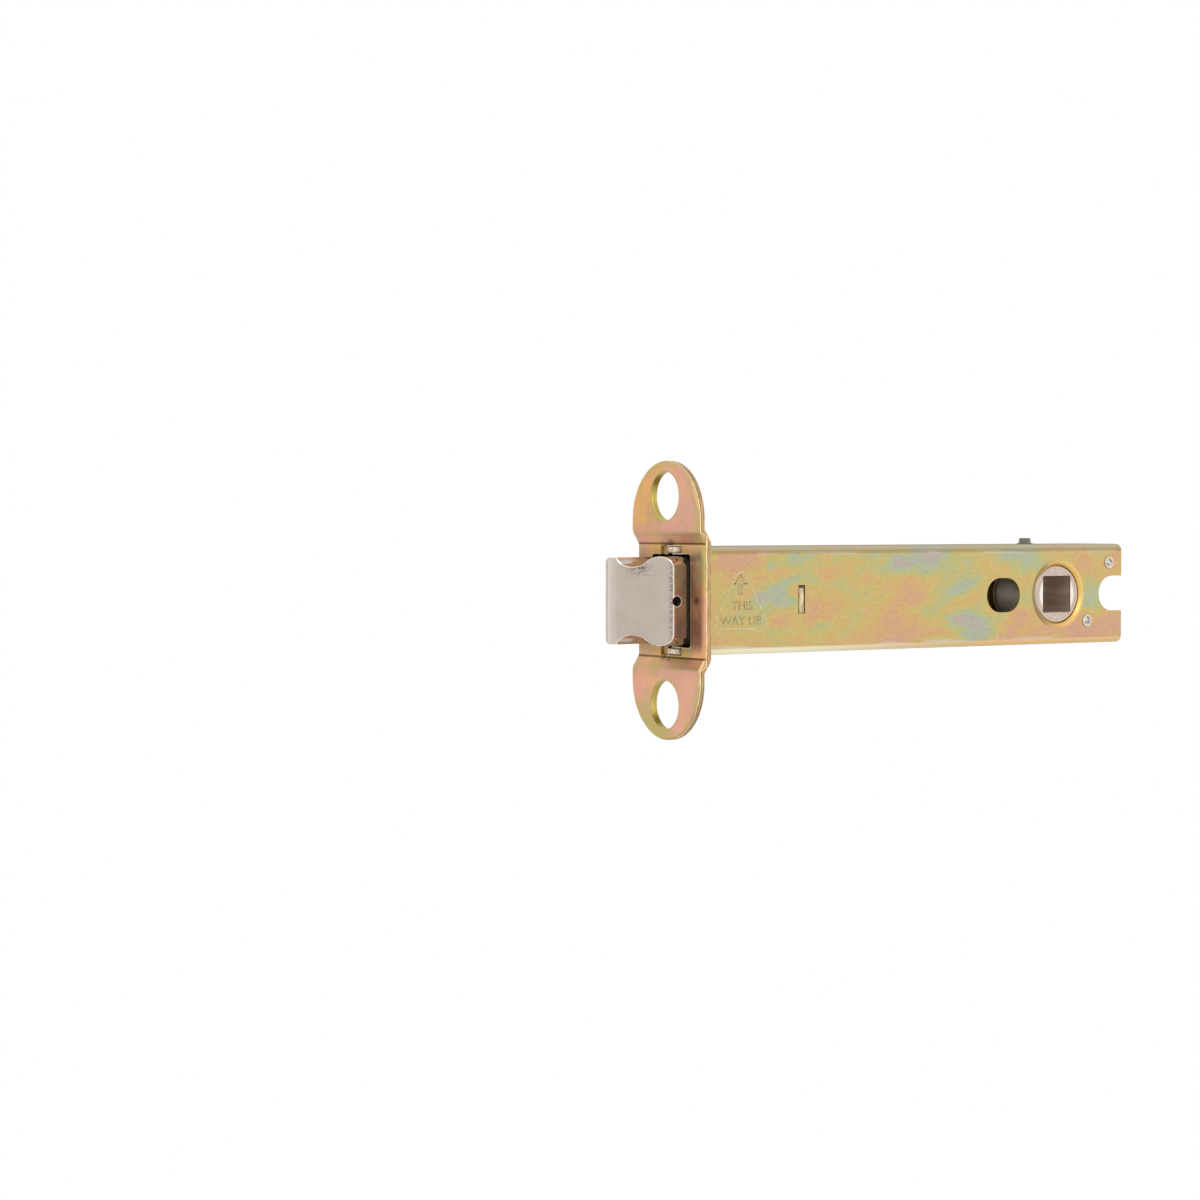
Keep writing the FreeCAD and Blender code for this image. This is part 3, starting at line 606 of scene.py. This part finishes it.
def hub_nickel(colours):
    """Sintered hub with turned marks on its faces, a square hole painted brown for its shade, painted highlights
    beside the hole and round its rim, and painted shade on its body inside the case.
    """
    finish = Finish("nickel_hub")
    spot, (x, y, z) = finish.place()
    side = x - HUB_AT
    reach = (side * side + z * z).root()
    pores = finish.cloud(spot, (1500.0, 1500.0, 1500.0), detail=3.0, roughness=0.7)
    inputs = {"W": reach, "Scale": 2600.0, "Detail": 2.0}
    turned = finish.node("ShaderNodeTexNoise", {"noise_dimensions": "1D"}, inputs)
    rings = Value(finish, turned.outputs[0])
    turned_metal = (pores * 0.6 + rings * 0.4).rise(0.32, 0.68)
    tone = finish.mixed(turned_metal, written(0.66, 0.60, 0.55), written(0.76, 0.70, 0.65))
    # Painted highlights: pale crescents beside the square hole.
    sunk = reach.rise(5.05 * MM, 4.90 * MM) * abs(z).rise(4.15 * MM, 4.05 * MM)
    tone = finish.mixed(sunk * 0.8, tone, written(0.90, 0.87, 0.84))
    # Painted shade: the hub's body inside the case is made nearly black.
    inside = abs(y).rise(6.9 * MM, 6.7 * MM)
    tone = finish.mixed(inside * 0.95, tone, written(0.07, 0.06, 0.05))
    # The square hole's walls, painted brown for the dim light inside it, with broach marks.
    wall = 4.08 * MM
    hole = abs(side).rise(wall + 0.02 * MM, wall) * abs(z).rise(wall + 0.02 * MM, wall)
    broach = finish.cloud(spot, (700.0, 40.0, 700.0), detail=2.0)
    brown = finish.colours(broach, [(0.3, written(0.64, 0.56, 0.48)), (0.7, written(0.74, 0.66, 0.58))])
    tone = finish.mixed(hole, tone, brown)
    # Painted highlight round the boss's rim.
    edge = reach.rise(6.15 * MM, 6.30 * MM)
    tone = finish.mixed(edge * 0.8, tone, written(0.97, 0.93, 0.89))
    roughness = 0.30 + pores * 0.12 + hole * 0.12 + inside * 0.30
    normal = finish.grains(rings * 0.6 + pores * 0.4, 0.20, 0.02 * MM)
    return finish.shade(tone, 0.92 - inside * 0.3, roughness, normal)


def tab_zinc():
    """The fixed plate's tab, bright in its slot with painted shade along its edges."""
    finish = Finish("zinc_tab")
    spot, (x, y, z) = finish.place()
    marks = finish.cloud(spot, (1800.0, 1800.0, 400.0), detail=3.0, roughness=0.65)
    tone = finish.mixed(marks.rise(0.35, 0.70), written(0.66, 0.58, 0.44), written(0.88, 0.82, 0.68))
    # Painted shade along the tab's edges, where it meets the slot.
    corner = x.rise(29.70 * MM, 29.90 * MM) * z.rise(0.5 * MM, 2.0 * MM)
    edge = x.rise(28.85 * MM, 28.60 * MM).at_least(corner)
    edge = edge.at_least(z.rise(2.15 * MM, 2.4 * MM)).at_least(z.rise(-2.9 * MM, -3.1 * MM) * 0.6)
    tone = finish.mixed(edge * 0.85, tone, written(0.16, 0.11, 0.07))
    return finish.shade(tone, 0.88, 0.34 + marks * 0.10, finish.grains(marks, 0.15, 0.02 * MM))


def riveted_end(node_name):
    """A spacer's end, hammered over: a duller, dented middle inside a ring painted bright as the highlight on its
    raised rim.
    """
    low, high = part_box(node_name)
    middle, height = (low.x + high.x) / 2, (low.z + high.z) / 2
    finish = Finish("steel_" + node_name)
    spot, (x, y, z) = finish.place()
    dents = finish.cloud(spot, (1300.0, 1300.0, 1300.0), detail=3.0, roughness=0.6, distortion=0.5)
    tone = finish.mixed(dents.rise(0.38, 0.62), written(0.54, 0.51, 0.46), written(0.82, 0.80, 0.76))
    # Painted highlight on the raised rim round the dented middle.
    ring = 1 - round_spot(x, z, middle, height, 1.02 * MM, 0.2 * MM)
    tone = finish.mixed(ring * 0.75, tone, written(0.86, 0.82, 0.74))
    return finish.shade(tone, 0.90, 0.34 + dents * 0.12, finish.grains(dents, 0.45, 0.05 * MM))


def steel(name, tone, dark_tone, across, roughness, strength=0.15):
    """Bright steel with fine marks, so many to the metre along each axis."""
    finish = Finish(name)
    spot, _ = finish.place()
    marks = finish.cloud(spot, across, detail=3.0, roughness=0.65)
    mottle = finish.cloud(spot, (260.0, 260.0, 260.0), detail=2.0, distortion=0.3)
    colour = finish.mixed((marks * 0.6 + mottle * 0.4).rise(0.35, 0.72), dark_tone, tone)
    rough = roughness + marks * 0.12 + mottle * 0.06
    return finish.shade(colour, 0.92, rough, finish.grains(marks, strength, 0.02 * MM))


class LATCH_OT_finishes(bpy.types.Operator):
    """Give every solid of the frame its finish"""

    bl_idname = "latch.finishes"
    bl_label = "Finishes"

    def execute(self, context):
        colours = context.scene.latch_colours
        dressed("forend_plate", forend_zinc(colours))
        sides = case_zinc(colours)
        for name in ("case_shell", "case_cover"):
            dressed(name, sides)
        dressed("latch_bolt", bolt_nickel(colours))
        dressed("hub", hub_nickel(colours))
        # Painted shade: the drawbar, bars, washer and bolt tail deep in the case are made dark brown-grey.
        inner_shade = written(0.12, 0.10, 0.09)
        plain = steel("steel_shaded", written(0.33, 0.29, 0.24), inner_shade, (200.0, 1500.0, 1500.0), 0.36)
        for name in ("drawbar", "upper_bar", "lower_bar", "tail_washer", "bolt_tail"):
            dressed(name, plain)
        dressed("spring_plate", tab_zinc())
        dull = written(0.56, 0.50, 0.38)
        plate = steel("zinc_plate", written(0.80, 0.74, 0.58), dull, (1800.0, 1800.0, 300.0), 0.34)
        dressed("return_plate", plate)
        for name in ("upper_spacer", "lower_spacer"):
            dressed(name, riveted_end(name))
        knurl = written(0.42, 0.41, 0.37)
        stud = steel("steel_stud", written(0.70, 0.68, 0.63), knurl, (1900.0, 1900.0, 150.0), 0.42)
        dressed("top_stud", stud)
        black = written(0.05, 0.03, 0.03)
        pin = steel("steel_pin", written(0.34, 0.28, 0.25), black, (900.0, 900.0, 900.0), 0.50)
        dressed("bolt_pin", pin)
        clip = steel("black_clip", written(0.30, 0.30, 0.31), colours.dark, (700.0, 700.0, 700.0), 0.34)
        dressed("tail_clip", clip)
        return {"FINISHED"}


def coil(start, stop, diameter, wire, turns, sides, steps):
    """A round wire spun into a coil along X, its ends ground flat."""
    shape = bmesh.new()
    radius = (diameter - wire) / 2
    pitch = (stop - start) / turns
    made = bmesh.ops.create_circle(shape, cap_ends=False, segments=sides, radius=wire / 2)
    lead = math.atan2(pitch, 2 * math.pi * radius)
    stand = Matrix.Translation((start - pitch / 2, radius, 0)) @ Matrix.Rotation(lead, 4, "Y")
    bmesh.ops.transform(shape, matrix=stand, verts=made["verts"])
    bmesh.ops.spin(
        shape,
        geom=shape.edges[:],
        cent=(0, 0, 0),
        axis=(1, 0, 0),
        dvec=(pitch / steps, 0, 0),
        angle=2 * math.pi * (turns + 1),
        steps=steps * (turns + 1),
        use_merge=False,
    )
    for place, way in ((start, -1), (stop, 1)):
        bmesh.ops.bisect_plane(
            shape,
            geom=shape.verts[:] + shape.edges[:] + shape.faces[:],
            plane_co=(place, 0, 0),
            plane_no=(way, 0, 0),
            clear_outer=True,
        )
    bmesh.ops.holes_fill(shape, edges=[edge for edge in shape.edges if edge.is_boundary], sides=0)
    bmesh.ops.recalc_face_normals(shape, faces=shape.faces[:])
    return shape


class LATCH_OT_strong_spring(bpy.types.Operator):
    """Make the strong spring that returns the hub, as a round wire"""

    bl_idname = "latch.strong_spring"
    bl_label = "Strong spring"

    def execute(self, context):
        sizes = context.scene.latch_sizes
        tone = context.scene.latch_colours.steel
        wire_steel = steel("spring_steel", tone, written(0.42, 0.41, 0.40), (1200.0, 300.0, 300.0), 0.26)
        width = STRONG_HIGH.y - STRONG_LOW.y
        shape = coil(STRONG_LOW.x, STRONG_HIGH.x, width, sizes.strong_wire, sizes.strong_turns, 14, 40)
        piece = new_piece("strong_coil", shape, wire_steel, "case", 40)
        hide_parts("return_spring")
        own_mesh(piece)
        return {"FINISHED"}


class LATCH_OT_light_spring(bpy.types.Operator):
    """Make the light spring that pushes the bolt out, in two halves of round wire, one for each slide"""

    bl_idname = "latch.light_spring"
    bl_label = "Light spring"

    def execute(self, context):
        sizes = context.scene.latch_sizes
        tone = context.scene.latch_colours.steel
        shadow = written(0.46, 0.45, 0.44)
        wire_steel = steel("light_spring_steel", tone, shadow, (1200.0, 300.0, 300.0), 0.22)
        width = LIGHT_HIGH.y - LIGHT_LOW.y
        middle = (LIGHT_LOW.x + LIGHT_HIGH.x) / 2
        halves = (
            ("light_coil_rear", "case", "drawbar_slide", middle, LIGHT_HIGH.x),
            ("light_coil_front", "drawbar", "bolt_slide", LIGHT_LOW.x, middle),
        )
        for name, body, joint, start, stop in halves:
            shape = coil(start, stop, width, sizes.light_wire, sizes.light_turns, 12, 40)
            piece = new_piece(name, shape, wire_steel, body, 40)
            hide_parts("bolt_spring")
            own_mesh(piece)
        return {"FINISHED"}


def hammered_zinc():
    """Zinc beaten bare in the middle of each lug, with painted shade round its rounded edges."""
    finish = Finish("zinc_hammered")
    spot, (x, y, z) = finish.place()
    dents = finish.cloud(spot, (1500.0, 900.0, 1500.0), detail=3.0, roughness=0.6, distortion=0.6)
    tone = finish.mixed(dents.rise(0.38, 0.62), written(0.74, 0.66, 0.52), written(0.95, 0.91, 0.84))
    # Painted shade on the lug end's rounded edges and on its back.
    edge = abs(y + 1.30 * MM).rise(1.7 * MM, 2.3 * MM).at_least(abs(z).rise(10.75 * MM, 11.05 * MM))
    edge = edge.at_least(x.rise(1.65 * MM, 1.95 * MM))
    tone = finish.mixed(edge * 0.8, tone, written(0.40, 0.29, 0.18))
    return finish.shade(tone, 0.88, 0.30 + dents * 0.12, finish.grains(dents, 0.6, 0.08 * MM))


class LATCH_OT_lug_ends(bpy.types.Operator):
    """Make the ends of the case's lugs, hammered over in the forend"""

    bl_idname = "latch.lug_ends"
    bl_label = "Lug ends"

    def execute(self, context):
        finish = hammered_zinc()
        height = context.scene.latch_sizes.lug_height
        for name, way in (("lug_end_upper", 1), ("lug_end_lower", -1)):
            shape = bmesh.new()
            block = Matrix.Diagonal((1.1 * MM, 4.6 * MM, height, 1.0))
            middle = Matrix.Translation((1.80 * MM, -1.30 * MM, way * 10.40 * MM))
            bmesh.ops.create_cube(shape, size=1.0, matrix=middle @ block)
            bmesh.ops.bevel(
                shape,
                geom=shape.edges[:],
                offset=0.42 * MM,
                segments=4,
                profile=0.5,
                affect="EDGES",
                material=-1,
            )
            new_piece(name, shape, finish, "case", 60)
        return {"FINISHED"}


def stamped_zinc(name, light, shadow):
    """Zinc where the stamp bruised its film, in lighter and darker flecks."""
    finish = Finish(name)
    spot, _ = finish.place()
    flecks = finish.cloud(spot, (1500.0, 1500.0, 1500.0), detail=3.0, roughness=0.7)
    tone = finish.mixed(flecks.rise(0.38, 0.62), shadow, light)
    return finish.shade(tone, 0.86, 0.42 + flecks * 0.1, finish.grains(flecks, 0.2, 0.02 * MM))


def raised_words(words, height, x, z, relief):
    """Plain letters on the case's side, read from -Y, as a bmesh."""
    curve = bpy.data.curves.new("words", "FONT")
    curve.body = words
    curve.size = height / 0.7
    curve.align_x = "CENTER"
    curve.align_y = "CENTER"
    curve.extrude = relief / 2
    curve.resolution_u = 3
    text = bpy.data.objects.new("words", curve)
    bpy.context.scene.collection.objects.link(text)
    bpy.context.view_layer.update()
    mesh = bpy.data.meshes.new_from_object(text.evaluated_get(bpy.context.evaluated_depsgraph_get()))
    bpy.data.objects.remove(text)
    shape = bmesh.new()
    shape.from_mesh(mesh)
    bpy.data.meshes.remove(mesh)
    y = SHELL_LOW.y - relief / 2 + SINK
    stand = Matrix.Translation((x, y, z)) @ Matrix.Rotation(math.pi / 2, 4, "X")
    bmesh.ops.transform(shape, matrix=stand, verts=shape.verts[:])
    return shape


def outline_mark(corners, stroke, relief, roundness):
    """A closed line of even width round some (x, z) corners on the case's side, as a bmesh."""
    shape = bmesh.new()
    y = SHELL_LOW.y - relief + SINK
    verts = [shape.verts.new((x, y, z)) for x, z in corners]
    shape.faces.new(verts)
    bmesh.ops.bevel(
        shape,
        geom=shape.verts[:],
        offset=roundness,
        segments=6,
        profile=0.5,
        affect="VERTICES",
        material=-1,
    )
    made = bmesh.ops.inset_region(
        shape, faces=shape.faces[:], thickness=stroke, use_boundary=True, use_even_offset=True
    )
    inner = [face for face in shape.faces if face not in made["faces"]]
    bmesh.ops.delete(shape, geom=inner, context="FACES")
    grown = bmesh.ops.extrude_face_region(shape, geom=shape.faces[:])
    moved = [item for item in grown["geom"] if isinstance(item, bmesh.types.BMVert)]
    bmesh.ops.translate(shape, vec=(0, relief, 0), verts=moved)
    bmesh.ops.recalc_face_normals(shape, faces=shape.faces[:])
    return shape


class LATCH_OT_mark(bpy.types.Operator):
    """Put the stamped triangle with its arrow and words on the case's side"""

    bl_idname = "latch.mark"
    bl_label = "Stamped mark"

    def execute(self, context):
        sizes = context.scene.latch_sizes
        pale = stamped_zinc("zinc_stamp_pale", written(0.80, 0.75, 0.60), written(0.72, 0.66, 0.49))
        deep = stamped_zinc("zinc_stamp_deep", written(0.70, 0.63, 0.48), written(0.58, 0.50, 0.38))
        relief = sizes.mark_relief
        corners = [(13.7 * MM, 7.5 * MM), (5.8 * MM, -5.9 * MM), (21.4 * MM, -6.1 * MM)]
        triangle = outline_mark(corners, sizes.mark_stroke, relief, 3.0 * MM)
        new_piece("mark_triangle", triangle, pale, "case")
        shaft = [(13.0, 3.3), (13.0, 1.2), (14.0, 1.2), (14.0, 3.3)]
        arrow = [(13.5, 5.3), (11.9, 3.3), *shaft, (15.1, 3.3)]
        arrow_shape = outline_mark([(x * MM, z * MM) for x, z in arrow], 0.22 * MM, relief, 0.05 * MM)
        new_piece("mark_arrow", arrow_shape, deep, "case")
        lines = (("mark_upper_word", "THIS", 14.0, -1.2), ("mark_lower_words", "WAY UP", 13.6, -4.25))
        for name, words, x, z in lines:
            letters = raised_words(words, sizes.letter_height, x * MM, z * MM, relief)
            new_piece(name, letters, deep, "case")
        return {"FINISHED"}


def lamp(name, place, aim, size, power):
    """A soft square lamp that points at a spot."""
    light = bpy.data.lights.new(name, "AREA")
    light.shape = "RECTANGLE"
    light.size, light.size_y = size
    light.energy = power
    held = bpy.data.objects.new(name, light)
    held.location = place
    held.rotation_euler = (Vector(aim) - Vector(place)).to_track_quat("-Z", "Y").to_euler()
    bpy.context.scene.collection.objects.link(held)


def seen_directly(finish):
    """1 for rays from the camera, off a gloss or through glass."""
    path = finish.node("ShaderNodeLightPath")
    seen = Value(finish, path.outputs["Is Camera Ray"])
    for way in ("Is Glossy Ray", "Is Transmission Ray"):
        seen = seen.at_least(Value(finish, path.outputs[way]))
    return seen


def floor_paint():
    """Pale floor that keeps a shadow near the latch and is white far from it."""
    finish = Finish("floor_paint")
    spot, (x, y, _) = finish.place()
    grain = finish.cloud(spot, (3.0, 3.0, 3.0), detail=2.0)
    colour = finish.mixed(grain * 0.2, (0.86, 0.86, 0.86), (0.80, 0.80, 0.80))
    finish.shade(colour, 0.0, 0.8)
    far = (x * x + y * y).root().rise(0.32, 0.60)
    white = finish.node("ShaderNodeEmission", None, {"Color": (1.0, 1.0, 1.0), "Strength": 1.0})
    inputs = {0: seen_directly(finish) * far, 1: finish.surface.outputs[0], 2: white.outputs[0]}
    mix = finish.node("ShaderNodeMixShader", None, inputs)
    finish.feed(finish.tree.nodes["Material Output"].inputs["Surface"], mix.outputs[0])
    return finish.material


def white_room(scene, strength):
    """Light from all round, which the camera and the metals see as plain white."""
    world = bpy.data.worlds.new("white_room")
    world.use_nodes = True
    scene.world = world
    room = Finish.__new__(Finish)
    room.tree = world.node_tree
    soft = world.node_tree.nodes["Background"]
    soft.inputs["Color"].default_value = (1.0, 1.0, 1.0, 1.0)
    soft.inputs["Strength"].default_value = strength
    plain = room.node("ShaderNodeBackground", None, {"Color": (1.0, 1.0, 1.0), "Strength": 1.0})
    inputs = {0: seen_directly(room), 1: soft.outputs[0], 2: plain.outputs[0]}
    mix = room.node("ShaderNodeMixShader", None, inputs)
    room.feed(world.node_tree.nodes["World Output"].inputs["Surface"], mix.outputs[0])


class LATCH_OT_stage(bpy.types.Operator):
    """Add the floor, the lamps and the camera"""

    bl_idname = "latch.stage"
    bl_label = "Stage"

    def execute(self, context):
        scene = context.scene
        stage = scene.latch_stage
        shape = bmesh.new()
        bmesh.ops.create_grid(shape, x_segments=1, y_segments=1, size=6.0)
        mesh = bpy.data.meshes.new("floor")
        lift = Matrix.Translation((0, 0, -stage.floor_drop))
        bmesh.ops.transform(shape, matrix=lift, verts=shape.verts[:])
        shape.to_mesh(mesh)
        shape.free()
        floor = bpy.data.objects.new("floor", mesh)
        floor.data.materials.append(floor_paint())
        scene.collection.objects.link(floor)

        aim = (0.05, 0, 0)
        lamp("key_lamp", (-0.45, -0.55, 0.55), aim, (0.5, 0.5), stage.key_power)
        lamp("fill_lamp", (0.55, -0.60, 0.15), aim, (0.4, 0.6), stage.fill_power)
        white_room(scene, stage.room_light)

        camera = bpy.data.cameras.new("camera")
        camera.lens = stage.lens
        camera.sensor_width = 36.0
        camera.clip_start = 0.01
        turn, dip = math.radians(33.188), math.radians(1.680)
        ahead = Vector((math.sin(turn) * math.cos(dip), math.cos(turn) * math.cos(dip), -math.sin(dip)))
        held = bpy.data.objects.new("camera", camera)
        held.location = (-0.32029, -0.46559, 0.01669)
        held.rotation_euler = ahead.to_track_quat("-Z", "Y").to_euler()
        scene.collection.objects.link(held)
        scene.camera = held
        scene.view_settings.view_transform = "Standard"
        return {"FINISHED"}


class LATCH_PT_pieces(bpy.types.Panel):
    """Buttons for each piece"""

    bl_label = "Tubular latch"
    bl_space_type = "VIEW_3D"
    bl_region_type = "UI"
    bl_category = "Latch"

    def draw(self, context):
        layout = self.layout
        for operator in OPERATORS:
            layout.operator(operator.bl_idname)
        for group in (context.scene.latch_colours, context.scene.latch_sizes, context.scene.latch_stage):
            box = layout.box()
            for name in group.__annotations__:
                box.prop(group, name)


OPERATORS = (
    LATCH_OT_finishes,
    LATCH_OT_strong_spring,
    LATCH_OT_light_spring,
    LATCH_OT_lug_ends,
    LATCH_OT_mark,
    LATCH_OT_stage,
)
GROUPS = {"latch_colours": LatchColours, "latch_sizes": LatchSizes, "latch_stage": LatchStage}


def register():
    for group in GROUPS.values():
        bpy.utils.register_class(group)
    for operator in OPERATORS:
        bpy.utils.register_class(operator)
    bpy.utils.register_class(LATCH_PT_pieces)
    for name, group in GROUPS.items():
        setattr(bpy.types.Scene, name, bpy.props.PointerProperty(type=group))


def unregister():
    for name in GROUPS:
        delattr(bpy.types.Scene, name)
    bpy.utils.unregister_class(LATCH_PT_pieces)
    for operator in reversed(OPERATORS):
        bpy.utils.unregister_class(operator)
    for group in GROUPS.values():
        bpy.utils.unregister_class(group)


def main():
    register()
    bpy.ops.latch.finishes()
    bpy.ops.latch.strong_spring()
    bpy.ops.latch.light_spring()
    bpy.ops.latch.lug_ends()
    bpy.ops.latch.mark()
    bpy.ops.latch.stage()


if __name__ == "__main__":
    main()
